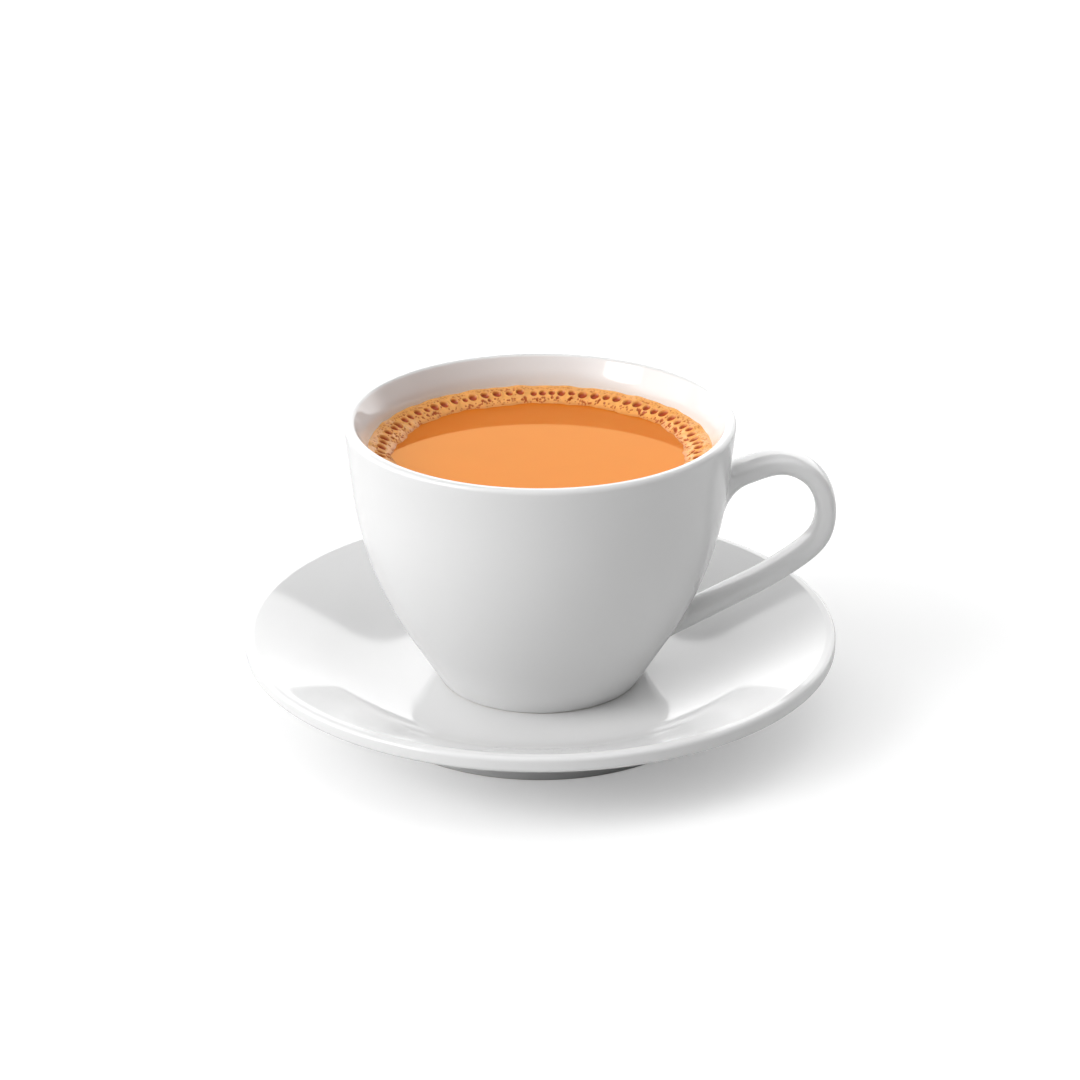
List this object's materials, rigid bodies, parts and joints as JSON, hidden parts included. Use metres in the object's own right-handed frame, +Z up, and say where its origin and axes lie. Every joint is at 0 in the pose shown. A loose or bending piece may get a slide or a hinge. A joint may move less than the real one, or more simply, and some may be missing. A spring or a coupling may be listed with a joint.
{
  "type": "cup of masala chai with saucer",
  "caption": "Porcelain cup with a strap handle, filled with frothy milk chai, standing on a round saucer.",
  "frame": {"origin": "on the table, on the common upright axis of saucer and cup", "axes": "+Z up, +X out through the middle of the handle, +Y completes the right-handed frame"},
  "size_m": [0.1466, 0.1466, 0.076],
  "materials": {
    "porcelain": "glossy white glaze",
    "chai": "glossy milky liquid",
    "froth": "wet foam of small bubbles"
  },
  "bodies": {
    "root": {"cup": "porcelain", "saucer": "porcelain", "chai": "chai", "froth_ring": "froth"}
  },
  "joints": []
}
